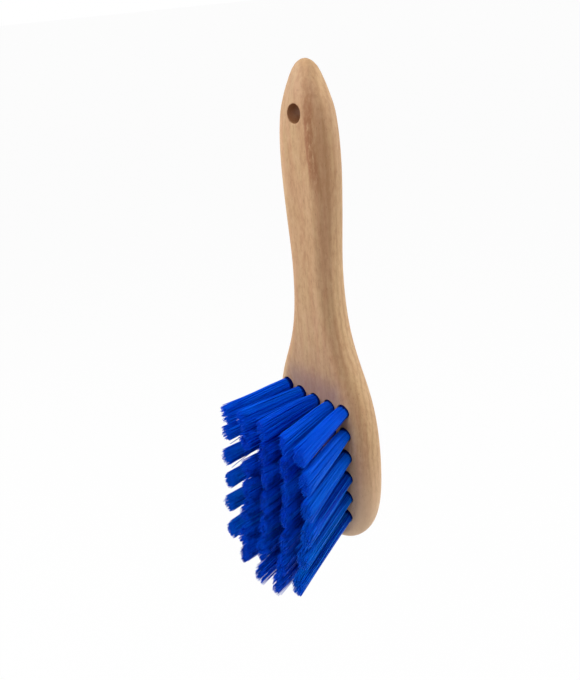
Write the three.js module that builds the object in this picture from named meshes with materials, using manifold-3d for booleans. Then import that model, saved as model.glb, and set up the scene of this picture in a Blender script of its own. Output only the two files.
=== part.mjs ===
// A short wooden wheel brush. One hardwood block makes the head, the neck and the handle. Tufts of
// blue bristle stand in blind holes in the head's front face, and a flat-wire anchor at the bottom
// of each hole holds its tuft by the fold. The handle's end has a hole to hang the brush by.
// Millimetres. +Z runs up the handle, +X across the brush, and the bristles point along -Y.
// The origin is the centre of the hanging hole. Heights below are measured up from the toe, which
// is the head's far end; the heel is the row of tufts nearest the handle.

import * as THREE from "three";
import { mergeGeometries, mergeVertices } from "three/addons/utils/BufferGeometryUtils.js";
import Module from "manifold-3d";

const wasm = await Module();
wasm.setup();

// Tuft holes
const COLUMNS = 5;
const ROWS = 7;
const OUTER_COLUMN_ROWS = 6; // the two outer columns have no tuft in the toe row
const HOLE_DIAMETER = 7;
const HOLE_DEPTH = 11;
const COLUMN_WEB = 2.6; // wood between neighbouring columns
const ROW_WEB = 5.5; // wood between neighbouring rows
const TOE_ROW_WEB = 3.2; // wood between the toe row and the row above it
const ROW_BOW = 1.6; // how far the roots in the middle of each row dip towards the toe
const COLUMN_BOW = 1.5; // how far the outer columns have drawn in by the toe

// Bristles, measured from the front face
const HEEL_TRIM = 33.4;
const TOE_TRIM = 45.5;
const TRIM_HOLLOW = 2.8; // how far the trim dips below a straight slope half way along the head
const HEEL_FAN = 0.45; // how much further apart the columns are at the tips, in the heel row
const TOE_FAN = 0.51; // the same in the toe row
const ROW_FAN = 0.06; // how much further apart the rows are at the tips than at the roots
const TOE_LEAN = 6.3; // how far the outer tips of the middle row lie towards the toe
const TIP_BOW = 2.2; // how far the tips in the middle of each row rise towards the handle
const STRAND_RADIUS = 0.75;
const STRAND_RINGS = [
  { count: 3, radius: 0.9 },
  { count: 9, radius: 2.3 },
];
const TUFT_FLARE = 1.6; // a tuft's width at the tips over its width at the root
const RAGGED = 0.9; // how much the strands of a tuft differ in length

// Anchors
const WIRE_THICKNESS = 0.5;
const WIRE_WIDTH = 2;
const ANCHOR_BITE = 0.5; // how far each end reaches into the wood
const FOLD_THICKNESS = 1; // bristle under the anchor

// Wooden block
const BLOCK_THICKNESS = 14.8;
const EDGE_RADIUS = 5.9;
const SIDE_MARGIN = 8.4; // wood beside the outer columns at the head's widest
const TOE_MARGIN = 7.8; // wood between the toe row and the end of the head
const HEEL_TO_NECK = 64.1;
const NECK_TO_GRIP = 42.2; // from the narrowest to the widest part of the handle
const GRIP_TO_TIP = 40.2;
const NECK_WIDTH = 24.3;
const GRIP_WIDTH = 29.2;
const TIP_RADIUS = 6;
const TIP_TAPER = 24; // degrees between the handle's direction and its sides where the tip begins
const TIP_EGG = { width: 44, thickness: 24.6, length: 75 }; // half an egg that the tip is rounded to
const TIP_SET_BACK = 0.5; // how far the tip's point lies behind the middle of the thickness
const HANG_HOLE_DIAMETER = 7.2;
const HANG_HOLE_CHAMFER = 0.8;
const HANG_HOLE_TO_TIP = 18.6;

// The slice of the front face that the bristles are fused to
const SLICE_THICKNESS = 2.5;
const SLICE_INSET = 3; // from the edge of the block
const SLICE_MARGIN = 3; // above the heel row

// Fits
const SEAT_GAP = 0.3; // between pieces that touch
const CUT_OVER = 3; // how far a cutter passes the surface that it opens

// Fineness of the curved surfaces
const OUTLINE_STEPS = 10;
const EDGE_STEPS = 4;
const HOLE_SIDES = 10;
const HANG_HOLE_SIDES = 24;
const EGG_SIDES = 28;

const holeRadius = HOLE_DIAMETER / 2;
const columnPitch = HOLE_DIAMETER + COLUMN_WEB;
const rowPitch = HOLE_DIAMETER + ROW_WEB;
const toeRowPitch = HOLE_DIAMETER + TOE_ROW_WEB;
const toeRowHeight = TOE_MARGIN + holeRadius + ROW_BOW;
const middleRow = (ROWS + 1) / 2;
const middleColumn = (COLUMNS + 1) / 2;
const headHalfWidth = (middleColumn - 1) * columnPitch + holeRadius + SIDE_MARGIN;
const heelHeight = rowHeight(1);
const headWidestHeight = rowHeight(middleRow);
const neckHeight = heelHeight + HEEL_TO_NECK;
const gripHeight = neckHeight + NECK_TO_GRIP;
const tipHeight = gripHeight + GRIP_TO_TIP;
const hangHoleHeight = tipHeight - HANG_HOLE_TO_TIP;
const frontFace = -BLOCK_THICKNESS / 2;

const wood = new THREE.MeshStandardMaterial({ color: 0xc9a988, roughness: 0.6, metalness: 0 });
const bristle = new THREE.MeshStandardMaterial({ color: 0x0a45c8, roughness: 0.45, metalness: 0 });
const steel = new THREE.MeshStandardMaterial({ color: 0xb8bcc0, roughness: 0.35, metalness: 1 });

// Row 1 is the heel row and row 7 the toe row.
function rowHeight(row) {
  if (row === ROWS) return toeRowHeight;
  return toeRowHeight + toeRowPitch + (ROWS - 1 - row) * rowPitch;
}

function solidOf(geometry) {
  const bare = geometry.clone();
  bare.deleteAttribute("normal");
  bare.deleteAttribute("uv");
  const merged = mergeVertices(bare, 1e-4);
  return new wasm.Manifold(
    new wasm.Mesh({
      numProp: 3,
      vertProperties: new Float32Array(merged.attributes.position.array),
      triVerts: new Uint32Array(merged.index.array),
    }),
  );
}

function geometryOf(solid) {
  const { numProp, vertProperties, triVerts } = solid.getMesh();
  const positions = new Float32Array((vertProperties.length / numProp) * 3);
  for (let i = 0; i < positions.length / 3; i++)
    positions.set(vertProperties.subarray(i * numProp, i * numProp + 3), i * 3);
  const geometry = new THREE.BufferGeometry();
  geometry.setAttribute("position", new THREE.BufferAttribute(positions, 3));
  geometry.setIndex(new THREE.BufferAttribute(triVerts, 1));
  geometry.computeVertexNormals();
  return geometry;
}

function joined(solids) {
  return solids.reduce((whole, solid) => whole.add(solid));
}

function mesh(name, geometry, material) {
  const made = new THREE.Mesh(geometry, material);
  made.name = name;
  return made;
}

// The right-hand side of the block seen from the front, from the toe up to the handle's tip: a
// full round toe, the head's widest part, the neck, the grip and a tapered, round tip.
function sideCurve() {
  const neckHalf = NECK_WIDTH / 2;
  const gripHalf = GRIP_WIDTH / 2;
  const taper = THREE.MathUtils.degToRad(TIP_TAPER);
  const tipCentre = tipHeight - TIP_RADIUS;
  const shoulderHalf = TIP_RADIUS * Math.cos(taper);
  const shoulderHeight = tipCentre + TIP_RADIUS * Math.sin(taper);
  const shoulderRun = shoulderHeight - gripHeight;
  const at = (x, y) => new THREE.Vector2(x, y);
  const run = (...points) => new THREE.CubicBezierCurve(...points);
  const curves = [
    run(
      at(0, 0),
      at(headHalfWidth * 0.67, 0),
      at(headHalfWidth, headWidestHeight * 0.31),
      at(headHalfWidth, headWidestHeight),
    ),
    run(
      at(headHalfWidth, headWidestHeight),
      at(headHalfWidth, headWidestHeight + (neckHeight - headWidestHeight) * 0.58),
      at(neckHalf, neckHeight - (neckHeight - headWidestHeight) * 0.53),
      at(neckHalf, neckHeight),
    ),
    run(
      at(neckHalf, neckHeight),
      at(neckHalf, neckHeight + NECK_TO_GRIP * 0.26),
      at(gripHalf, gripHeight - NECK_TO_GRIP * 0.26),
      at(gripHalf, gripHeight),
    ),
    run(
      at(gripHalf, gripHeight),
      at(gripHalf, gripHeight + shoulderRun * 0.7),
      at(
        shoulderHalf + shoulderRun * 0.36 * Math.sin(taper),
        shoulderHeight - shoulderRun * 0.36 * Math.cos(taper),
      ),
      at(shoulderHalf, shoulderHeight),
    ),
    new THREE.EllipseCurve(0, tipCentre, TIP_RADIUS, TIP_RADIUS, taper, Math.PI / 2),
  ];
  return curves.flatMap((curve, i) => curve.getPoints(OUTLINE_STEPS).slice(i === 0 ? 0 : 1));
}

// The whole outline, counter-clockwise, moved in from the block's edge by the given distance.
function outline(inset = 0) {
  const right = sideCurve();
  const left = right.slice(1, -1).map((p) => new THREE.Vector2(-p.x, p.y));
  const points = [...right, ...left.reverse()];
  return points.map((p, i) => {
    const before = points.at(i - 1);
    const after = points[(i + 1) % points.length];
    const along = after.clone().sub(before).normalize();
    return new THREE.Vector2(p.x - along.y * inset, p.y + along.x * inset);
  });
}

// A plate with the given outline between two depths along Y.
function plate(points, front, back, edgeRadius = 0) {
  const geometry = new THREE.ExtrudeGeometry(new THREE.Shape(points), {
    depth: back - front - 2 * edgeRadius,
    bevelEnabled: edgeRadius > 0,
    bevelThickness: edgeRadius,
    bevelSize: edgeRadius,
    bevelOffset: -edgeRadius,
    bevelSegments: EDGE_STEPS,
  });
  geometry.rotateX(Math.PI / 2);
  geometry.translate(0, back - edgeRadius, 0);
  return solidOf(geometry);
}

function box(from, to) {
  const size = to.clone().sub(from);
  const centre = from.clone().add(to).multiplyScalar(0.5);
  return solidOf(new THREE.BoxGeometry(size.x, size.y, size.z).translate(...centre));
}

// One entry for each tuft, with a frame at the mouth of its hole: local Y runs out along the
// tuft, and local Z stays as near to the handle's direction as it can.
function tuftList() {
  const tufts = [];
  for (let row = 1; row <= ROWS; row++) {
    for (let column = 1; column <= COLUMNS; column++) {
      const outer = column === 1 || column === COLUMNS;
      if (outer && row > OUTER_COLUMN_ROWS) continue;
      tufts.push(tuftAt(row, column));
    }
  }
  return tufts;
}

function tuftAt(row, column) {
  const across = (column - middleColumn) / (middleColumn - 1);
  const drawnIn = COLUMN_BOW * ((2 * row) / OUTER_COLUMN_ROWS - 1) ** 2;
  const x = (column - middleColumn) * columnPitch - drawnIn * across ** 3;
  const middle = 1 - across * across;
  const toeward = (row - 1) / (ROWS - 1);
  const hollow = TRIM_HOLLOW * 4 * toeward * (1 - toeward);
  const trim = THREE.MathUtils.lerp(HEEL_TRIM, TOE_TRIM, toeward) - hollow;
  const fan = THREE.MathUtils.lerp(HEEL_FAN, TOE_FAN, toeward);
  const root = new THREE.Vector3(x, frontFace, rowHeight(row) - ROW_BOW * middle);
  const rowLean = (rowHeight(row) - headWidestHeight) * ROW_FAN - TOE_LEAN;
  const reach = new THREE.Vector3(x * fan, -trim, rowLean + (ROW_BOW + TIP_BOW) * middle);
  const y = reach.clone().normalize();
  const z = new THREE.Vector3(0, 0, 1).addScaledVector(y, -y.z).normalize();
  const basis = new THREE.Matrix4().makeBasis(y.clone().cross(z), y, z).setPosition(root);
  return { row, column, length: reach.length(), frame: basis };
}

// A round bar in a tuft's frame between two distances along it.
function tuftBar(tuft, radius, from, to) {
  const bar = new THREE.CylinderGeometry(radius, radius, to - from, HOLE_SIDES);
  bar.translate(0, (from + to) / 2, 0).applyMatrix4(tuft.frame);
  return solidOf(bar);
}

const anchorLength = HOLE_DIAMETER + 2 * ANCHOR_BITE;
const anchorDepth = HOLE_DEPTH - SEAT_GAP - FOLD_THICKNESS - SEAT_GAP - WIRE_WIDTH / 2;

// The room that an anchor takes in the wood and through the fold of its tuft.
function anchorSlot(tuft) {
  const slot = new THREE.BoxGeometry(
    WIRE_THICKNESS + 2 * SEAT_GAP,
    WIRE_WIDTH + 2 * SEAT_GAP,
    anchorLength + 2 * SEAT_GAP,
  );
  slot.translate(0, -anchorDepth, 0).applyMatrix4(tuft.frame);
  return solidOf(slot);
}

function anchor(tuft) {
  const name = `anchor_row${tuft.row}_tuft${tuft.column}`;
  const wire = new THREE.BoxGeometry(WIRE_THICKNESS, WIRE_WIDTH, anchorLength);
  const made = mesh(name, wire, steel);
  made.position.set(0, -anchorDepth, 0).applyMatrix4(tuft.frame);
  made.quaternion.setFromRotationMatrix(tuft.frame);
  return made;
}

// The room that the handle's end is rounded to: half an egg with its point at the tip, and below
// it everything down to the toe.
function eggEnd() {
  const egg = new THREE.SphereGeometry(1, EGG_SIDES, EGG_SIDES / 2);
  egg.rotateX(Math.PI / 2);
  egg.scale(TIP_EGG.width / 2, TIP_EGG.thickness / 2, TIP_EGG.length);
  egg.translate(0, TIP_SET_BACK, tipHeight - TIP_EGG.length);
  const below = box(
    new THREE.Vector3(-headHalfWidth, frontFace, 0),
    new THREE.Vector3(headHalfWidth, -frontFace, tipHeight - TIP_EGG.length),
  );
  return solidOf(egg).add(below);
}

function hangHole() {
  const radius = HANG_HOLE_DIAMETER / 2;
  const half = BLOCK_THICKNESS / 2;
  const flare = radius + HANG_HOLE_CHAMFER + CUT_OVER;
  const profile = [
    new THREE.Vector2(0, -half - CUT_OVER),
    new THREE.Vector2(flare, -half - CUT_OVER),
    new THREE.Vector2(radius, -half + HANG_HOLE_CHAMFER),
    new THREE.Vector2(radius, half - HANG_HOLE_CHAMFER),
    new THREE.Vector2(flare, half + CUT_OVER),
    new THREE.Vector2(0, half + CUT_OVER),
  ];
  const cutter = new THREE.LatheGeometry(profile, HANG_HOLE_SIDES);
  return solidOf(cutter.translate(0, 0, hangHoleHeight));
}

// The shallow room in the front face that the bristles' slices fill.
function slicePocket() {
  const top = heelHeight + holeRadius + SLICE_MARGIN + SEAT_GAP;
  const floor = frontFace + SLICE_THICKNESS + SEAT_GAP;
  const room = plate(outline(SLICE_INSET - SEAT_GAP), frontFace - CUT_OVER, floor);
  const headOnly = box(
    new THREE.Vector3(-headHalfWidth, frontFace - CUT_OVER, 0),
    new THREE.Vector3(headHalfWidth, floor, top),
  );
  return room.intersect(headOnly);
}

function woodBlock(blank, tufts) {
  const holes = tufts.map((tuft) => tuftBar(tuft, holeRadius, -HOLE_DEPTH, CUT_OVER));
  const cuts = joined([...holes, ...tufts.map(anchorSlot), slicePocket(), hangHole()]);
  return mesh("wood_block", geometryOf(blank.subtract(cuts)), wood);
}

// The strands of one tuft: straight, a little wider apart at the tips, and of ragged length. They
// start inside the slice so that they fuse with it.
function strands(tuft) {
  const foot = -SLICE_THICKNESS / 2;
  const bars = STRAND_RINGS.flatMap((ring) =>
    Array.from({ length: ring.count }, (_, i) => {
      const angle = (2 * Math.PI * (i + tuft.row / 2)) / ring.count;
      const uneven = Math.sin(37 * i + 11 * tuft.row + 5 * tuft.column);
      const from = new THREE.Vector3(
        ring.radius * Math.cos(angle),
        foot,
        ring.radius * Math.sin(angle),
      );
      const to = from.clone().multiplyScalar(TUFT_FLARE);
      to.y = tuft.length + (RAGGED / 2) * (uneven - 1);
      return strandBar(from, to, angle);
    }),
  );
  return mergeGeometries(bars).applyMatrix4(tuft.frame);
}

function strandBar(from, to, turn) {
  const reach = to.clone().sub(from);
  const bar = new THREE.CylinderGeometry(
    STRAND_RADIUS,
    STRAND_RADIUS,
    reach.length(),
    3,
  );
  bar.rotateY(-turn);
  const up = new THREE.Vector3(0, 1, 0);
  bar.applyQuaternion(new THREE.Quaternion().setFromUnitVectors(up, reach.normalize()));
  return bar.translate(...from.add(to).multiplyScalar(0.5));
}

// The part of a tuft that fills its hole, folded round the anchor.
function tuftRoot(tuft) {
  const radius = holeRadius - SEAT_GAP;
  const root = tuftBar(tuft, radius, SEAT_GAP - HOLE_DEPTH, -SLICE_THICKNESS / 2);
  return root.subtract(anchorSlot(tuft));
}

// A group of tufts in neighbouring columns, fused to their slice of the front face.
function bristleGroup(name, blank, tufts, firstColumn, lastColumn) {
  const group = tufts.filter((t) => t.column >= firstColumn && t.column <= lastColumn);
  const edge = (column) => (column - middleColumn) * columnPitch;
  const left = firstColumn === 1 ? -headHalfWidth : edge(firstColumn - 0.5) + SEAT_GAP / 2;
  const right = lastColumn === COLUMNS ? headHalfWidth : edge(lastColumn + 0.5) - SEAT_GAP / 2;
  const top = heelHeight + holeRadius + SLICE_MARGIN;
  const back = frontFace + SLICE_THICKNESS;
  const cell = box(
    new THREE.Vector3(left, frontFace - CUT_OVER, 0),
    new THREE.Vector3(right, back, top),
  );
  const face = plate(outline(SLICE_INSET), frontFace - CUT_OVER, back);
  const slice = blank.intersect(face).intersect(cell);
  const tuftStrands = solidOf(mergeGeometries(group.map(strands)));
  const solid = joined([slice, ...group.map(tuftRoot), tuftStrands]);
  return mesh(name, geometryOf(solid), bristle);
}

const blank = plate(outline(), frontFace, -frontFace, EDGE_RADIUS).intersect(eggEnd());
const tufts = tuftList();

const brush = new THREE.Group();
brush.position.z = -hangHoleHeight;
brush.add(
  woodBlock(blank, tufts),
  bristleGroup("bristles_left", blank, tufts, 1, 2),
  bristleGroup("bristles_middle", blank, tufts, 3, 3),
  bristleGroup("bristles_right", blank, tufts, 4, COLUMNS),
  ...tufts.map(anchor),
);

const wheelBrush = new THREE.Group();
wheelBrush.add(brush);
export default wheelBrush;
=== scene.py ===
"""A short wooden wheel brush: a hardwood block with its handle, and tufts of blue bristle.

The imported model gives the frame. Constants are in millimetres and degrees, and the scene is in
metres. The bristles point along -Y and the handle along +Z. Heights are measured up from the toe,
the head's far end; the heel is the row of tufts nearest the handle.
"""

import math

import bmesh
import bpy
import numpy as np
from mathutils import Matrix, Vector


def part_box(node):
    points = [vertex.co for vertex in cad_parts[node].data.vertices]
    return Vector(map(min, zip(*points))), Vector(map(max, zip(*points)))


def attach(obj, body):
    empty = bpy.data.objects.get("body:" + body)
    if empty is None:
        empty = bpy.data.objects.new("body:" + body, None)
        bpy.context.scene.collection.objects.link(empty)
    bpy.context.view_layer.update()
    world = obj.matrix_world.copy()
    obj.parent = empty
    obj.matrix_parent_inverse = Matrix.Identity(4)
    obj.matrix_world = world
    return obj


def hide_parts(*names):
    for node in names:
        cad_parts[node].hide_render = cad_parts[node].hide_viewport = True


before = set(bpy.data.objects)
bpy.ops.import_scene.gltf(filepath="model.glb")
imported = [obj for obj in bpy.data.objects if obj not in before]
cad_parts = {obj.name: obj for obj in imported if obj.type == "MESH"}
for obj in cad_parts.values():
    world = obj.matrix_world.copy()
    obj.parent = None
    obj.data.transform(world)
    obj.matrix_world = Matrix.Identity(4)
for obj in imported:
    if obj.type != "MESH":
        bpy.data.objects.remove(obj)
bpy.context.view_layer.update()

MM = 0.001
SEED = 20

# Tuft holes, as in the part's source
COLUMNS = 5
ROWS = 7
OUTER_COLUMN_ROWS = 6
HOLE_DIAMETER = 7.0
HOLE_DEPTH = 11.0
COLUMN_WEB = 2.6
ROW_WEB = 5.5
TOE_ROW_WEB = 3.2
TOE_MARGIN = 7.8
ROW_BOW = 1.6
COLUMN_BOW = 1.5
CONE_START = 0.6  # how far short of the hole's depth the drill's cone begins
CONE_HEIGHT = 1.4
DRILL_OVER = 4.0  # how far the drill's path passes the face
DRILL_SIDES = 36

# Tufts, measured from the front face
HEEL_TRIM = 33.4
TOE_TRIM = 45.5
TRIM_HOLLOW = 2.8
HEEL_FAN = 0.45
TOE_FAN = 0.51
ROW_FAN = 0.06
TOE_LEAN = 6.3
TIP_BOW = 2.2
TUFT_RADIUS = 2.85
FLARES_ACROSS = (1.2, 1.15, 1.1, 0.95, 1.2)  # column by column, as the next
FLARES_ALONG = (1.35, 1.9, 2.05, 2.05, 1.8)
# Tufts that use has bent or splayed, by (row, column): how far the tips have moved across and
# along the brush, and how much wider along it they have become
WORN_TUFTS = {
    (1, 1): (0, -2, 1.3),
    (1, 2): (-0.5, -1, 1),
    (1, 4): (1.2, 0, 1.15),
    (1, 5): (-2.2, 0.5, 0.88),
    (2, 1): (-0.8, 0.8, 0.95),
    (2, 2): (0, 0.8, 0.85),
    (2, 5): (0, 1.2, 1.25),
    (3, 1): (-2.6, -0.6, 1.08),
    (3, 2): (0, -1.2, 0.8),
    (3, 4): (0.4, -0.8, 1),
    (4, 2): (0, 0.3, 1),
    (4, 3): (-0.3, 0.8, 1),
    (5, 1): (0, -1.2, 1.12),
    (5, 2): (0, 0.6, 1),
    (6, 1): (2.4, 0, 1),
    (6, 5): (-1.4, -2.5, 1),
    (7, 2): (4.2, 5.5, 0.9),
    (7, 3): (1.6, -1.2, 0.9),
    (7, 4): (0.3, 3, 0.9),
}
# The tufts inside are painted a deeper blue as painted shade, and are more tangled, than those at
# the heel and the sides, which are painted lighter as painted light.
OUTER_LIT_TONE = 0.85
TOE_TONE_DROP = 0.15
INNER_SHADED_TONE = 0.36
OUTER_TANGLE = 0.27
INNER_TANGLE = 0.42

# Filaments
FILAMENTS = 190
FILAMENT_RADIUS = 0.19
FILAMENT_SIDES = 5
WORN_END = 0.72  # a filament's thickness at its end over its full thickness
TUFT_TURN = 6.28  # radians, the most that a tuft's filaments are turned
ROOT_SCATTER = 0.1  # a standard deviation, as are the drift, the sag and the spread below
LOCKS = 7  # groups of filaments in a tuft that lean together
LOCK_TONE = 0.11  # how far the locks differ in tone
FILAMENT_TONE = 0.15  # how far the filaments of a lock differ in tone
TUFT_DRIFT = 0.3
STRAYS = 0.02  # share of the filaments that bend well out of their tuft
STRAY_BEND = 1.5
SAG = 0.2
BEND_POWER = 2.2  # a bend gathers towards the filament's end
FLARE_POWER = 0.5  # the flare along the brush gathers towards its root
LENGTH_OVER = 0.35  # how far the longer filaments pass the trimmed surface
LENGTH_SPREAD = 0.2
LENGTH_WORN = 0.3  # how much shorter wear has made a filament, on average
LONGEST_STRAND = 1.6  # the most that a filament stands out past its tuft's middle
WIRE_ROOM = 0.55  # half the room that the wire takes between the halves of a fold
FOLD_SQUEEZE = 0.72  # how far the filaments beside the wire are pressed together
# Stations inside the hole: the depth, and how far the filaments are squeezed across and along
HOLE_STATIONS = ((10.2, 0.6, 0.86), (6.0, 1.0, 0.92))
# Stations outside it, as shares of a filament's free length
FREE_STATIONS = (0.0, 0.25, 0.5, 0.72, 0.9, 1.0)
STRAND_SHARP_ANGLE = 80

# Block
NECK_ABOVE_HEEL = 64.1
GRIP_ABOVE_NECK = 42.2
NECK_WIDTH = 24.3
GRIP_WIDTH = 29.2
TIP_RADIUS = 6.0
TIP_TAPER = 24.0
TIP_EGG = Vector((22.0, 12.3, 75.0))  # half an egg that the tip is rounded to
TIP_SET_BACK = 0.5
EGG_SHARPNESS = 14  # how abruptly the block's own form gives way to the egg
HANG_HOLE_DIAMETER = 7.2
HANG_HOLE_LIP = 0.8
HANG_HOLE_LIP_STEPS = 6
HANG_HOLE_SIDES = 64
CUT_OVER = 2.0  # how far the hanging hole's cutter passes the faces
# How full the outline's curves are, as shares of the distance that each covers
TOE_FULLNESS = (0.67, 0.31)  # across and along
HEAD_FULLNESS = 0.58
NECK_FULLNESS = 0.53
GRIP_FULLNESS = 0.26
TIP_FULLNESS = (0.7, 0.36)  # at the grip and at the tip
OUTLINE_STEPS = (70, 60, 34, 40)  # toe, head to neck, neck to grip, and grip to tip
ROUND_TIP_STEPS = 33
# How far the rounded edge reaches in from the outline, and how sharply it leaves the front face,
# each at heights above the toe
EDGE_REACH = [(0, 6.2), (100, 6.2), (147, 6.8), (190, 7.2), (215, 6.4), (232, 5.8)]
ARRIS_ANGLE = [(0, 0), (120, 2), (165, 6), (192, 17), (209, 25), (217, 14), (226, 3), (232, 0)]
EDGE_FULLNESS = (0.55, 0.62)  # at the front face, and down the side
EDGE_STEPS = 12
FACE_STEPS = [0, 0.04, 0.12, 0.22, 0.32, 0.44, 0.56, 0.68, 0.78, 0.88, 0.96, 1]
WELD = 0.05  # points of the block that are nearer than this become one
BLOCK_SHARP_ANGLE = 38

# Wood marks, and painted shade round the heel row
RING_PITCH = 2.6
STREAK_MIDDLE = (6.6, -10.0)  # across and along, beside the hanging hole
STREAK_REACH = (3.0, 26.0)
STREAK_SLANT = 0.09
TUFT_SHADE_ABOVE_ROW = (2, 15)  # where the painted shade of the heel row's tufts begins to fade, and where it ends
TUFT_SHADE_ACROSS = (13, 20)

# Studio
FLOOR_DROP = 390.0  # from the toe down to the floor
FLOOR_SIZE = 60.0  # metres
FLOOR_SQUARES = 8  # along each edge
FLOOR_GLOW = 0.96
SKY_LIGHT = 0.15
LAMP_DISTANCE = 1.2  # metres, as the next
LAMP_SIZE = 0.6
LAMPS = {  # the direction that each shines from, and its power in watts
    "key_lamp": ((-0.85, -0.5, 0.5), 10),
    "fill_lamp": ((0.2, -0.8, 0.9), 5),
    "top_lamp": ((0.4, 0.2, 1.0), 5),
    "back_lamp": ((0.5, 0.85, 0.2), 8),
    "side_lamp": ((0.9, -0.45, 0.3), 1),
}
LAMP_AIM = Vector((0, 0, -100))
SEEN_RAYS = ("Is Camera Ray", "Is Glossy Ray", "Is Transmission Ray")
CAMERA_AZIMUTH = 50.76
CAMERA_ELEVATION = 28.13
CAMERA_ROLL = -5.39
CAMERA_AIM = Vector((-11.0025, -10.12178, -100.15749))
CAMERA_DISTANCE = 300.0
CAMERA_LENS = 34.54
CAMERA_SENSOR = 36.0
CAMERA_NEAR = 0.01  # metres

low, high = (Vector(corner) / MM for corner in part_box("wood_block"))
toe = low.z
block_height = high.z - low.z
half_thickness = high.y
head_half_width = high.x
hole_radius = HOLE_DIAMETER / 2
hang_hole_radius = HANG_HOLE_DIAMETER / 2
column_pitch = HOLE_DIAMETER + COLUMN_WEB
row_pitch = HOLE_DIAMETER + ROW_WEB
toe_row_height = TOE_MARGIN + hole_radius + ROW_BOW
middle_row = (ROWS + 1) / 2
middle_column = (COLUMNS + 1) / 2


def row_height(row):
    """The height of a row's outer roots above the toe; row 1 is the heel row."""
    if row == ROWS:
        return toe_row_height
    return toe_row_height + HOLE_DIAMETER + TOE_ROW_WEB + (ROWS - 1 - row) * row_pitch


head_widest_height = row_height(middle_row)
trim_run = (row_height(1) - row_height(ROWS)) * (1 + ROW_FAN)
neck_height = row_height(1) + NECK_ABOVE_HEEL
grip_height = neck_height + GRIP_ABOVE_NECK


# ---------------------------------------------------------------- materials


class Wire:
    """One output of a node. Arithmetic on it adds Math nodes."""

    def __init__(self, finish, socket):
        self.finish = finish
        self.socket = socket

    def math(self, operation, *values):
        return self.finish.node("Math", {"operation": operation}, dict(enumerate(values)))

    def __add__(self, other):
        return self.math("ADD", self, other)

    __radd__ = __add__

    def __mul__(self, other):
        return self.math("MULTIPLY", self, other)

    __rmul__ = __mul__

    def __sub__(self, other):
        return self.math("SUBTRACT", self, other)

    def __rsub__(self, other):
        return self.math("SUBTRACT", other, self)

    def __truediv__(self, other):
        return self.math("DIVIDE", self, other)

    def __pow__(self, other):
        return self.math("POWER", self, other)

    def __abs__(self):
        return self.math("ABSOLUTE", self)

    def sine(self):
        return self.math("SINE", self)

    def step(self, low, high):
        """0 below low, 1 above high, and smooth between them."""
        settings = {"interpolation_type": "SMOOTHSTEP"}
        sockets = {"Value": self, "From Min": low, "From Max": high}
        return self.finish.node("MapRange", settings, sockets)

    def near_zero(self, reach, core):
        """1 where the value is near 0, and 0 past the reach; the core is a share of the reach."""
        return 1 - abs(self / reach).step(core, 1.0)


class Finish:
    """The nodes of a material or a world, all of which node() makes."""

    def __init__(self, owner):
        owner.use_nodes = True
        self.owner = owner
        self.tree = owner.node_tree
        self.tree.nodes.clear()

    def node(self, kind, settings=None, sockets=None, output=0):
        made = self.tree.nodes.new("ShaderNode" + kind)
        for name, value in (settings or {}).items():
            setattr(made, name, value)
        for name, value in (sockets or {}).items():
            if isinstance(value, Wire):
                self.tree.links.new(value.socket, made.inputs[name])
            else:
                made.inputs[name].default_value = value
        return Wire(self, made.outputs[output]) if made.outputs else None

    def place(self):
        """Where a point lies on the object, in millimetres."""
        at = self.node("TexCoord", output="Object")
        return self.node("VectorMath", {"operation": "SCALE"}, {0: at, "Scale": 1 / MM})

    def stretched(self, at, scale):
        return self.node("VectorMath", {"operation": "MULTIPLY"}, {0: at, 1: scale})

    def parts(self, at):
        return [self.node("SeparateXYZ", sockets={0: at}, output=i) for i in range(3)]

    def noise(self, at, scale, detail, roughness=0.55):
        """Noise with its own scale along each axis: about so many features a millimetre."""
        sockets = {"Vector": self.stretched(at, scale), "Scale": 1.0}
        return self.node("TexNoise", sockets=sockets | {"Detail": detail, "Roughness": roughness})

    def mix(self, share, a, b):
        return self.node("Mix", {"data_type": "RGBA"}, {0: share, 6: a, 7: b}, output=2)

    def bump(self, height, distance, strength):
        sockets = {"Height": height, "Distance": distance, "Strength": strength}
        return self.node("Bump", sockets=sockets)

    def seen(self):
        """1 for what the camera sees, directly, mirrored or through glass; 0 for what lights."""
        direct, mirrored, through = (self.node("LightPath", output=name) for name in SEEN_RAYS)
        return (direct + mirrored + through).step(0, 1)

    def surface(self, sockets):
        shader = self.node("BsdfPrincipled", sockets=sockets)
        self.node("OutputMaterial", sockets={"Surface": shader})
        return self.owner


def colour(red, green, blue):
    """A colour from its sRGB levels out of 255."""

    def linear(level):
        share = level / 255
        return share / 12.92 if share <= 0.04045 else ((share + 0.055) / 1.055) ** 2.4

    return (linear(red), linear(green), linear(blue), 1.0)


def growth_rings(x, y, wander):
    """1 in the brown late wood of each ring and 0 between; the rings wander along the block."""
    turn = (y * 0.9 + x * 0.28 + wander * 9) * (2 * math.pi / RING_PITCH)
    return (turn.sine() * 0.5 + 0.5) ** 2.5


def plain_wood(f, at, ring, fibre, fleck):
    """The wood's colour all over: clouds, growth rings, lengthwise fibre and short flecks."""
    y = f.parts(at)[1]
    cloud = f.noise(at, (0.34, 0.34, 0.03), 3.0)
    mottle = f.noise(at, (0.12, 0.12, 0.05), 2.0)
    tan = f.mix(cloud.step(0.35, 0.68), colour(206, 169, 126), colour(199, 154, 114))
    tan = f.mix(mottle.step(0.35, 0.75) * 0.5, tan, colour(202, 156, 122))
    tan = f.mix(y.step(-5.5, 1) * 0.4, tan, colour(206, 172, 124))
    tan = f.mix(ring * (0.14 + y.step(-7, -3) * 0.2), tan, colour(164, 120, 78))
    tan = f.mix(fibre.step(0.42, 0.8) * 0.28, tan, colour(168, 124, 84))
    tan = f.mix(fleck.step(0.48, 0.7) * 0.4, tan, colour(164, 116, 80))
    return f.mix((1 - fleck.step(0.3, 0.5)) * 0.3, tan, colour(222, 188, 150))


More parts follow.
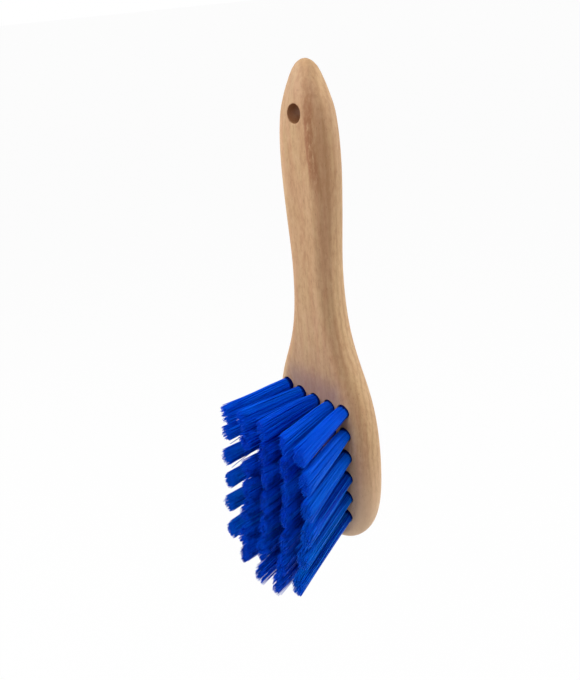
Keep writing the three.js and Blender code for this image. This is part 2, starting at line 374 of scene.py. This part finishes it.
def marked_wood(f, at, tan, wander, fleck):
    """A brown streak by the hanging hole, grain and painted shade on the edge, painted shade on
    the grip, a duller tip and painted light on the toe.
    """
    x, y, z = f.parts(at)
    across = x - STREAK_MIDDLE[0] + z * STREAK_SLANT - wander * 2
    streak = across.near_zero(STREAK_REACH[0], 0.4) * (1 - y.step(-5.5, -1))
    streak = streak * (z - STREAK_MIDDLE[1]).near_zero(STREAK_REACH[1], 0.3)
    tan = f.mix(streak * fleck.step(0.2, 0.6) * 0.7, tan, colour(150, 92, 58))
    # a darker band down the right edge: partly darker grain, partly painted shade along the
    # rounded edge
    right_edge_grain_and_shade = (y + 5).near_zero(3, 0.3) * x.step(5, 8)
    tan = f.mix(right_edge_grain_and_shade * 0.2, tan, colour(150, 100, 62))
    # painted shade on the grip's right side
    grip_side_shade = x.step(8, 11) * z.step(-60, -25) * (1 - z.step(0, 12))
    tan = f.mix(grip_side_shade * 0.16, tan, colour(140, 90, 54))
    left_tip = (1 - x.step(-5, 5)) * z.step(-6, 8)
    tan = f.mix(left_tip * 0.3, tan, colour(164, 122, 84))
    # painted light: the lower head and the toe are paler
    return f.mix((1 - z.step(-200, -140)) * 0.7, tan, colour(230, 194, 158))


def painted_shade_on_wood(f, at, tan):
    """Painted shade, tinted bluish by the tufts, on the face round the heel row, and end grain
    with painted shade in the hanging hole.
    """
    x, y, z = f.parts(at)
    heel_edge = toe + row_height(1) + hole_radius
    fading = (z - heel_edge).step(*TUFT_SHADE_ABOVE_ROW)
    on_face = 1 - y.step(0.1 - half_thickness, 0.9 - half_thickness)
    # painted shade of the heel row's tufts on the face, with a painted bluish reflection from them
    tuft_shade = (1 - fading) * on_face * (1 - abs(x).step(*TUFT_SHADE_ACROSS))
    tan = f.mix(tuft_shade * 0.5, tan, colour(148, 116, 112))
    # end grain and painted shade inside the hanging hole
    from_bore = (x * x + z * z) ** 0.5 - hang_hole_radius
    return f.mix((1 - from_bore.step(-0.1, 0.4)) * 0.8, tan, colour(130, 74, 34))


def pore_mask(f, at, fibre):
    """Short dark pores, only where the fibre is coarse."""
    sockets = {"Vector": f.stretched(at, (1.3, 1.3, 0.3)), "Scale": 1.0}
    cells = f.node("TexVoronoi", {"feature": "F1"}, sockets, output="Distance")
    return (1 - cells.step(0.05, 0.22)) * fibre.step(0.4, 0.6)


def wood_finish():
    """Pale hardwood, sanded and bare."""
    f = Finish(bpy.data.materials.new("pale_hardwood"))
    at = f.place()
    x, y, _ = f.parts(at)
    wander = f.noise(at, (0.05, 0.05, 0.012), 2.0) - 0.5
    fibre = f.noise(at, (1.7, 1.7, 0.12), 4.0, 0.6)
    fleck = f.noise(at, (0.75, 0.75, 0.26), 4.0, 0.7)
    ring = growth_rings(x, y, wander)
    pore = pore_mask(f, at, fibre)
    tan = plain_wood(f, at, ring, fibre, fleck)
    tan = marked_wood(f, at, tan, wander, fleck)
    tan = painted_shade_on_wood(f, at, tan)
    tan = f.mix(pore * 0.5, tan, colour(126, 82, 52))
    relief = fibre * 0.5 + ring * 0.25 - pore * 0.6
    return f.surface(
        {
            "Base Color": tan,
            "Roughness": 0.52 + fibre * 0.16,
            "Normal": f.bump(relief, 0.08 * MM, 0.6),
            "Specular IOR Level": 0.35,
        }
    )


def bristle_finish():
    """Bright blue nylon with a soft shine, a little different from strand to strand, and painted
    shade inside, towards the toe, at the tips and at the roots.
    """
    f = Finish(bpy.data.materials.new("blue_bristle"))
    shade = f.node("Attribute", {"attribute_name": "shade"}, output="Fac")
    along = f.node("Attribute", {"attribute_name": "along"}, output="Fac")
    at = f.place()
    z = f.parts(at)[2]
    patch = f.noise(at, (0.9, 0.12, 0.9), 2.0)
    shadow_patch = f.noise(at, (0.3, 0.3, 0.3), 2.0)
    inner = 1 - shade.step(0.5, 0.6)
    toeward = 1 - z.step(-190, -112)

    # painted light and shade: the tone makes the outer tufts lighter and the inner ones a deeper
    # blue
    blue = f.mix(shade, colour(1, 58, 230), colour(3, 106, 248))
    blue = f.mix(patch.step(0.35, 0.7) * 0.3, blue, colour(1, 66, 224))
    # painted shade, a little greener, on the tufts towards the toe
    blue = f.mix(toeward * (1 - inner * 0.6), blue, colour(2, 102, 214))
    # painted shade at the filaments' ends
    blue = f.mix(along.step(0.93, 1.0) * 0.35, blue, colour(2, 72, 214))
    # painted shade on the inner tufts' sides below their ends
    blue = f.mix((1 - along.step(0.6, 0.95)) * inner * 0.7, blue, colour(0, 30, 160))
    # painted shade in dark patches on the inner tufts
    blue = f.mix(shadow_patch.step(0.48, 0.64) * inner * 0.48, blue, colour(1, 28, 130))
    # painted shade on the filaments where they enter their holes
    blue = f.mix(1 - along.step(0.0, 0.036), blue, colour(1, 24, 110))
    return f.surface(
        {
            "Base Color": blue,
            "Roughness": 0.38 + shade * 0.14,
            "Normal": f.bump(patch, 0.03 * MM, 0.4),
            "Specular IOR Level": 0.15,
            "Specular Tint": colour(40, 100, 255),
        }
    )


def wire_finish():
    """Flat zinc-plated steel wire with drawing lines."""
    f = Finish(bpy.data.materials.new("plated_wire"))
    at = f.place()
    lines = f.noise(at, (9.0, 9.0, 0.6), 3.0)
    cloud = f.noise(at, (0.8, 0.8, 0.8), 2.0)
    grey = f.mix(cloud.step(0.3, 0.7), colour(176, 180, 184), colour(204, 206, 208))
    return f.surface(
        {
            "Base Color": grey,
            "Metallic": 1.0,
            "Roughness": 0.26 + lines * 0.25,
            "Normal": f.bump(lines, 0.01 * MM, 0.4),
        }
    )


def floor_finish():
    """White paper that glows for the camera, so that only a faint shadow shows on it."""
    f = Finish(bpy.data.materials.new("white_paper"))
    cloud = f.noise(f.place(), (0.02, 0.02, 0.02), 2.0)
    white = f.mix(cloud * 0.02, colour(246, 246, 246), colour(240, 240, 240))
    paper = f.node("BsdfPrincipled", sockets={"Base Color": white})
    glow = f.node("Emission", sockets={"Color": (1, 1, 1, 1), "Strength": 1.0})
    both = f.node("MixShader", sockets={0: f.seen() * FLOOR_GLOW, 1: paper, 2: glow})
    f.node("OutputMaterial", sockets={"Surface": both})
    return f.owner


# ---------------------------------------------------------------- meshes


def new_piece(name, mesh, material):
    mesh.materials.append(material)
    piece = bpy.data.objects.new(name, mesh)
    bpy.context.scene.collection.objects.link(piece)
    return piece


def placed(axes, place):
    """The matrix that turns X, Y and Z to the given axes and moves the origin to a place."""
    return Matrix.Translation(place) @ Matrix(axes).transposed().to_4x4()


def closed_mesh(made, name):
    """The mesh of a closed bmesh, with its faces turned outwards."""
    bmesh.ops.recalc_face_normals(made, faces=made.faces)
    mesh = bpy.data.meshes.new(name)
    made.to_mesh(mesh)
    made.free()
    return mesh


def bezier(points, steps):
    """Points along a cubic curve, without its last one."""
    a, b, c, d = (np.array(p, float) for p in points)
    t = np.linspace(0, 1, steps, endpoint=False)[:, None]
    return a * (1 - t) ** 3 + 3 * b * t * (1 - t) ** 2 + 3 * c * t * t * (1 - t) + d * t**3


def side_curve():
    """The block's right side as (half-width, height) points: toe, head, neck, grip and tip."""
    wide, neck, grip = head_half_width, NECK_WIDTH / 2, GRIP_WIDTH / 2
    taper = math.radians(TIP_TAPER)
    tip_centre = block_height - TIP_RADIUS
    shoulder = (TIP_RADIUS * math.cos(taper), tip_centre + TIP_RADIUS * math.sin(taper))
    neck_rise = neck_height - head_widest_height
    tip_rise = shoulder[1] - grip_height
    grip_pull = GRIP_FULLNESS * GRIP_ABOVE_NECK
    tip_pull = TIP_FULLNESS[1] * tip_rise
    toe_end = [
        (0, 0),
        (TOE_FULLNESS[0] * wide, 0),
        (wide, TOE_FULLNESS[1] * head_widest_height),
        (wide, head_widest_height),
    ]
    head_to_neck = [
        (wide, head_widest_height),
        (wide, head_widest_height + HEAD_FULLNESS * neck_rise),
        (neck, neck_height - NECK_FULLNESS * neck_rise),
        (neck, neck_height),
    ]
    neck_to_grip = [
        (neck, neck_height),
        (neck, neck_height + grip_pull),
        (grip, grip_height - grip_pull),
        (grip, grip_height),
    ]
    grip_to_tip = [
        (grip, grip_height),
        (grip, grip_height + TIP_FULLNESS[0] * tip_rise),
        (shoulder[0] + tip_pull * math.sin(taper), shoulder[1] - tip_pull * math.cos(taper)),
        shoulder,
    ]
    curves = [toe_end, head_to_neck, neck_to_grip, grip_to_tip]
    stretches = [bezier(points, steps) for points, steps in zip(curves, OUTLINE_STEPS)]
    angles = np.linspace(taper, math.pi / 2, ROUND_TIP_STEPS)
    round_tip = TIP_RADIUS * np.stack([np.cos(angles), np.sin(angles)], 1) + (0, tip_centre)
    return np.concatenate([*stretches, round_tip])


def blend_at(height, stops):
    """A value that runs smoothly between (height, value) stops."""
    heights, values = zip(*stops)
    i = int(np.clip(np.searchsorted(heights, height) - 1, 0, len(heights) - 2))
    t = np.clip((height - heights[i]) / (heights[i + 1] - heights[i]), 0, 1)
    t = t * t * (3 - 2 * t)
    return values[i] + (values[i + 1] - values[i]) * t


def edge_profile(height):
    """The rounded edge from the front face to the middle of the side: inset and depth."""
    reach = blend_at(height, EDGE_REACH)
    turn = math.radians(blend_at(height, ARRIS_ANGLE))
    start = np.array((reach, -half_thickness))
    pull = EDGE_FULLNESS[0] * reach
    points = [
        start,
        start + (-pull * math.cos(turn), pull * math.sin(turn)),
        (0, -EDGE_FULLNESS[1] * half_thickness),
        (0, 0),
    ]
    return np.vstack([bezier(points, EDGE_STEPS), (0, 0)])


def egg_limited(point):
    """Draws a point in towards the block's long axis where it lies outside the rounded tip."""
    x, y, height = point
    up = min((height - (block_height - TIP_EGG.z)) / TIP_EGG.z, 1)
    if up < 0:
        return Vector(point)
    y -= TIP_SET_BACK
    across = math.hypot(x / TIP_EGG.x, y / TIP_EGG.y)
    room = math.sqrt(max(1 - up * up, 1e-9))
    share = (1 + (across / room) ** EGG_SHARPNESS) ** (-1 / EGG_SHARPNESS)
    return Vector((x * share, y * share + TIP_SET_BACK, height))


def across_face(start, end, shares):
    """Points across a flat face from one edge to the other, at shares of the way."""
    return [tuple(np.add(start, np.subtract(end, start) * s)) for s in shares]


def block_ring(x, height, along_x, along_z):
    """Points round the block at one place of its outline: right edge, back, left edge, front."""
    quarter = edge_profile(height)
    edge = np.vstack([quarter, quarter[-2::-1] * (1, -1)])
    right = [(x - d * along_z, y, height + d * along_x) for d, y in edge]
    left = [(-px, y, h) for px, y, h in reversed(right)]
    ring = right[:-1] + across_face(right[-1], left[0], FACE_STEPS)
    ring += left[1:-1] + across_face(left[-1], right[0], FACE_STEPS[:-1])
    return [egg_limited(p) for p in ring]


def block_mesh():
    """The whole block before drilling, as rings round the outline from toe to tip."""
    side = side_curve()
    ahead = np.roll(side, -1, 0) - np.roll(side, 1, 0)
    ahead[0] = (1, 0)
    ahead[-1] = (-1, 0)
    ahead /= np.linalg.norm(ahead, axis=1)[:, None]
    made = bmesh.new()
    rings = []
    for (x, height), (along_x, along_z) in zip(side, ahead):
        ring = block_ring(x, height, along_x, along_z)
        rings.append([made.verts.new((p + Vector((0, 0, toe))) * MM) for p in ring])
    around = len(rings[0])
    for lower, upper in zip(rings, rings[1:]):
        for i in range(around):
            j = (i + 1) % around
            made.faces.new((lower[i], lower[j], upper[j], upper[i]))
    bmesh.ops.remove_doubles(made, verts=made.verts, dist=WELD * MM)
    return closed_mesh(made, "block")


class Tuft:
    """One tuft's place: its root on the front face, the way it points and its length."""

    def __init__(self, row, column):
        across = (column - middle_column) / (middle_column - 1)
        middle = 1 - across * across
        toeward = (row - 1) / (ROWS - 1)
        drawn_in = COLUMN_BOW * (2 * row / OUTER_COLUMN_ROWS - 1) ** 2
        x = (column - middle_column) * column_pitch - drawn_in * across**3
        trim = HEEL_TRIM + (TOE_TRIM - HEEL_TRIM) * toeward
        trim -= TRIM_HOLLOW * 4 * toeward * (1 - toeward)
        fan = HEEL_FAN + (TOE_FAN - HEEL_FAN) * toeward
        lean = (row_height(row) - head_widest_height) * ROW_FAN - TOE_LEAN
        bent_across, bent_along, splay = WORN_TUFTS.get((row, column), (0, 0, 1))
        lift = lean + (ROW_BOW + TIP_BOW) * middle + bent_along
        reach = Vector((x * fan + bent_across, -trim, lift))
        outer = column in (1, COLUMNS) or row == 1
        # The bristles are trimmed together, along a surface that slopes from heel to toe.
        slope = TOE_TRIM - HEEL_TRIM - TRIM_HOLLOW * 4 * (1 - 2 * toeward)

        self.row = row
        self.column = column
        self.root = Vector((x, -half_thickness, toe + row_height(row) - ROW_BOW * middle))
        self.length = reach.length
        self.out = reach.normalized()
        self.up = (Vector((0, 0, 1)) - self.out * self.out.z).normalized()
        self.side = self.out.cross(self.up)
        self.trim_normal = Vector((0, 1, -slope / trim_run)).normalized()
        self.flare_across = FLARES_ACROSS[column - 1]
        self.flare_along = FLARES_ALONG[column - 1] * splay
        self.tone = OUTER_LIT_TONE - TOE_TONE_DROP * toeward if outer else INNER_SHADED_TONE
        self.tangle = OUTER_TANGLE if outer else INNER_TANGLE

    def matrix(self):
        return placed((self.side, self.out, self.up), self.root)


def tuft_list():
    """The tufts row by row, from the heel to the toe."""
    tufts = []
    for row in range(1, ROWS + 1):
        for column in range(1, COLUMNS + 1):
            if column in (1, COLUMNS) and row > OUTER_COLUMN_ROWS:
                continue
            tufts.append(Tuft(row, column))
    return tufts


def turned_bar(made, profile, matrix, sides):
    """A closed turned form: (radius, distance along Y) points, both ends on the axis."""
    rings = []
    for radius, along in profile:
        if radius == 0:
            rings.append([made.verts.new(matrix @ Vector((0, along, 0)) * MM)])
            continue
        ring = []
        for i in range(sides):
            angle = 2 * math.pi * i / sides
            point = Vector((radius * math.cos(angle), along, radius * math.sin(angle)))
            ring.append(made.verts.new(matrix @ point * MM))
        rings.append(ring)
    for lower, upper in zip(rings, rings[1:]):
        for i in range(sides):
            j = (i + 1) % sides
            corners = [lower[i % len(lower)], lower[j % len(lower)]]
            corners += [upper[j % len(upper)], upper[i % len(upper)]]
            made.faces.new(list(dict.fromkeys(corners)))


def hang_hole_profile():
    """The hanging hole's cutter along Y: a bore with a rounded lip at each face."""
    lip = [
        (
            hang_hole_radius + HANG_HOLE_LIP * (1 - math.cos(angle)),
            half_thickness - HANG_HOLE_LIP * (1 - math.sin(angle)),
        )
        for angle in np.linspace(0, math.pi / 2, HANG_HOLE_LIP_STEPS)
    ]
    end = half_thickness + CUT_OVER
    back = [*lip, (hang_hole_radius + HANG_HOLE_LIP, end), (0, end)]
    front = [(radius, -along) for radius, along in reversed(back)]
    return front + back


def drill_mesh(tufts):
    """Every drill's path through the block."""
    made = bmesh.new()
    cone = CONE_START - HOLE_DEPTH
    bottom = [(0, cone - CONE_HEIGHT), (hole_radius, cone)]
    top = [(hole_radius, DRILL_OVER), (0, DRILL_OVER)]
    for tuft in tufts:
        turned_bar(made, bottom + top, tuft.matrix(), DRILL_SIDES)
    turned_bar(made, hang_hole_profile(), Matrix.Identity(4), HANG_HOLE_SIDES)
    return closed_mesh(made, "drill_paths")


def wood_block(tufts, material):
    """The block with its blind tuft holes and the hanging hole."""
    block = new_piece("handle_block", block_mesh(), material)
    drills = new_piece("drill_paths", drill_mesh(tufts), material)
    cut = block.modifiers.new("drilled", "BOOLEAN")
    cut.operation = "DIFFERENCE"
    cut.solver = "EXACT"
    cut.use_self = True
    cut.object = drills
    evaluated = block.evaluated_get(bpy.context.evaluated_depsgraph_get())
    block.data = bpy.data.meshes.new_from_object(evaluated)
    block.modifiers.clear()
    bpy.data.objects.remove(drills)
    block.data.shade_smooth()
    block.data.set_sharp_from_angle(angle=math.radians(BLOCK_SHARP_ANGLE))
    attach(block, "root")
    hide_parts("wood_block")


def tuft_strands(tuft, chance):
    """One tuft's filaments: (across, out, along, share of the length) by station, and shades."""
    count = FILAMENTS
    index = np.arange(count)
    spread = np.sqrt((index + 0.5) / count) * TUFT_RADIUS
    angle = index * math.pi * (3 - math.sqrt(5)) + chance.uniform(0, TUFT_TURN)
    u = spread * np.cos(angle) + chance.normal(0, ROOT_SCATTER, count)
    v = spread * np.sin(angle) + chance.normal(0, ROOT_SCATTER, count)
    centres = chance.uniform(-TUFT_RADIUS, TUFT_RADIUS, (LOCKS, 2))
    lock = np.hypot(u[:, None] - centres[:, 0], v[:, None] - centres[:, 1]).argmin(1)
    lock_lean = chance.normal(0, tuft.tangle, (LOCKS, 2))[lock]
    stray = chance.uniform(0, 1, count) < STRAYS
    loose = np.where(stray, STRAY_BEND, tuft.tangle)[:, None]
    drift = chance.normal(0, 1, (count, 2)) * loose + lock_lean
    drift = drift + chance.normal(0, TUFT_DRIFT, 2)
    sag = chance.normal(0, SAG, (count, 2))
    shade = tuft.tone + chance.uniform(-FILAMENT_TONE, FILAMENT_TONE, count)
    shade = shade + lock_lean[:, 1] / tuft.tangle * LOCK_TONE
    end_u = u * tuft.flare_across + drift[:, 0]
    end_v = v * tuft.flare_along + drift[:, 1]
    normal = tuft.trim_normal
    oblique = -(normal.dot(tuft.side) * end_u + normal.dot(tuft.up) * end_v) / normal.dot(tuft.out)
    ragged = LENGTH_OVER + chance.normal(0, LENGTH_SPREAD, count)
    ragged = ragged - chance.exponential(LENGTH_WORN, count)
    free = tuft.length + np.minimum(oblique + ragged, LONGEST_STRAND)

    # Half of the filaments pass on each side of the wire, which crosses the fold.
    beside_wire = np.where(u < 0, -1, 1) * (WIRE_ROOM + abs(u) * FOLD_SQUEEZE)
    stations = [
        (beside_wire * across, np.full(count, -depth), v * along, 0.0)
        for depth, across, along in HOLE_STATIONS
    ]
    for share in FREE_STATIONS:
        bow = math.sin(math.pi * share)
        bend = share**BEND_POWER
        flared_across = 1 + (tuft.flare_across - 1) * share
        flared_along = 1 + (tuft.flare_along - 1) * share**FLARE_POWER
        x = u * flared_across + drift[:, 0] * bend + sag[:, 0] * bow
        z = v * flared_along + drift[:, 1] * bend + sag[:, 1] * bow
        stations.append((x, free * share, z, share))
    return stations, shade


def rod_faces(first, stations):
    """The faces of one tuft's rods, whose points run ring by ring from the first one."""
    ring_size = FILAMENTS * FILAMENT_SIDES
    base = first + np.arange(ring_size).reshape(FILAMENTS, FILAMENT_SIDES)
    after = np.roll(base, -1, 1)
    faces = []
    for low_ring in range(0, (stations - 1) * ring_size, ring_size):
        high_ring = low_ring + ring_size
        quad = [base + low_ring, base + high_ring, after + high_ring, after + low_ring]
        faces.extend(np.stack(quad, -1).reshape(-1, 4).tolist())
    faces.extend((base + (stations - 1) * ring_size).tolist())
    faces.extend(base[:, ::-1].tolist())
    return faces


def strands_mesh(name, tufts):
    """Every filament of some tufts as one mesh of thin round rods."""
    chance = np.random.default_rng(SEED + sum(t.column * ROWS + t.row for t in tufts))
    turn = np.arange(FILAMENT_SIDES) * 2 * math.pi / FILAMENT_SIDES
    points, faces, shades, alongs = [], [], [], []
    made_so_far = 0
    for tuft in tufts:
        stations, shade = tuft_strands(tuft, chance)
        faces.extend(rod_faces(made_so_far, len(stations)))
        matrix = np.array(tuft.matrix())
        for n, (x, y, z, share) in enumerate(stations):
            thick = FILAMENT_RADIUS * (WORN_END if n == len(stations) - 1 else 1)
            px = x[:, None] + thick * np.cos(turn)
            pz = z[:, None] + thick * np.sin(turn)
            py = np.repeat(y[:, None], FILAMENT_SIDES, 1)
            local = np.stack([px, py, pz, np.ones_like(px)], -1).reshape(-1, 4)
            points.append((local @ matrix.T)[:, :3])
            shades.append(np.repeat(shade, FILAMENT_SIDES))
            alongs.append(np.full(len(local), share))
            made_so_far += len(local)
    mesh = bpy.data.meshes.new(name)
    mesh.from_pydata((np.concatenate(points) * MM).tolist(), [], faces)
    for title, values in (("shade", shades), ("along", alongs)):
        layer = mesh.attributes.new(title, "FLOAT", "POINT")
        layer.data.foreach_set("value", np.concatenate(values).astype(np.float32))
    made = bmesh.new()
    made.from_mesh(mesh)
    bmesh.ops.recalc_face_normals(made, faces=made.faces)
    made.to_mesh(mesh)
    made.free()
    mesh.shade_smooth()
    mesh.set_sharp_from_angle(angle=math.radians(STRAND_SHARP_ANGLE))
    return mesh


def bristle_piece(name, node, tufts, material):
    """Some tufts as one piece, which stands for a bristle node."""
    piece = new_piece(name, strands_mesh(name, tufts), material)
    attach(piece, "root")
    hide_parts(node)


def finish_anchors():
    """The anchors keep their solids and get the wire's finish."""
    wire = wire_finish()
    for name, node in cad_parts.items():
        if name.startswith("anchor_"):
            node.data.materials.clear()
            node.data.materials.append(wire)


def brush():
    """Every visible piece of the brush."""
    tufts = tuft_list()
    wood_block(tufts, wood_finish())
    bristle = bristle_finish()
    left = [t for t in tufts if t.column < middle_column]
    middle = [t for t in tufts if t.column == middle_column]
    right = [t for t in tufts if t.column > middle_column]
    bristle_piece("tufts_left", "bristles_left", left, bristle)
    bristle_piece("tufts_middle", "bristles_middle", middle, bristle)
    bristle_piece("tufts_right", "bristles_right", right, bristle)
    finish_anchors()


# ---------------------------------------------------------------- studio


def studio_floor():
    """A plain white floor below the brush."""
    made = bmesh.new()
    squares = {"x_segments": FLOOR_SQUARES, "y_segments": FLOOR_SQUARES}
    bmesh.ops.create_grid(made, size=FLOOR_SIZE, **squares)
    mesh = bpy.data.meshes.new("studio_floor")
    made.to_mesh(mesh)
    made.free()
    floor = new_piece("studio_floor", mesh, floor_finish())
    floor.location = (0, 0, (toe - FLOOR_DROP) * MM)


def soft_lamp(name, direction, power):
    """A square lamp that shines on the brush from the given direction."""
    data = bpy.data.lights.new(name, "AREA")
    data.size = LAMP_SIZE
    data.energy = power
    lamp = bpy.data.objects.new(name, data)
    bpy.context.scene.collection.objects.link(lamp)
    back = Vector(direction).normalized()
    lamp.location = LAMP_AIM * MM + back * LAMP_DISTANCE
    lamp.rotation_euler = back.to_track_quat("Z", "Y").to_euler()


def plain_sky():
    """A plain white surround that the camera sees as pure white."""
    f = Finish(bpy.data.worlds.new("plain_sky"))
    strength = SKY_LIGHT + f.seen() * (1 - SKY_LIGHT)
    glow = f.node("Background", sockets={"Color": (1, 1, 1, 1), "Strength": strength})
    f.node("OutputWorld", sockets={"Surface": glow})
    bpy.context.scene.world = f.owner


def view_camera():
    """A camera that looks down on the brush from the front right, and is rolled a little."""
    azimuth = math.radians(CAMERA_AZIMUTH)
    elevation = math.radians(CAMERA_ELEVATION)
    roll = math.radians(CAMERA_ROLL)
    back = Vector((math.sin(azimuth), -math.cos(azimuth), 0)) * math.cos(elevation)
    back.z = math.sin(elevation)
    level = Vector((math.cos(azimuth), math.sin(azimuth), 0))
    right = Matrix.Rotation(roll, 3, back) @ level
    data = bpy.data.cameras.new("camera")
    data.lens = CAMERA_LENS
    data.sensor_width = CAMERA_SENSOR
    data.clip_start = CAMERA_NEAR
    camera = bpy.data.objects.new("camera", data)
    bpy.context.scene.collection.objects.link(camera)
    axes = (right, back.cross(right), back)
    camera.matrix_world = placed(axes, (CAMERA_AIM + back * CAMERA_DISTANCE) * MM)
    bpy.context.scene.camera = camera


def studio():
    """The floor, the surround and the lamps."""
    studio_floor()
    plain_sky()
    for name, (direction, power) in LAMPS.items():
        soft_lamp(name, direction, power)


bpy.context.scene.view_settings.view_transform = "Standard"
view_camera()
brush()
studio()
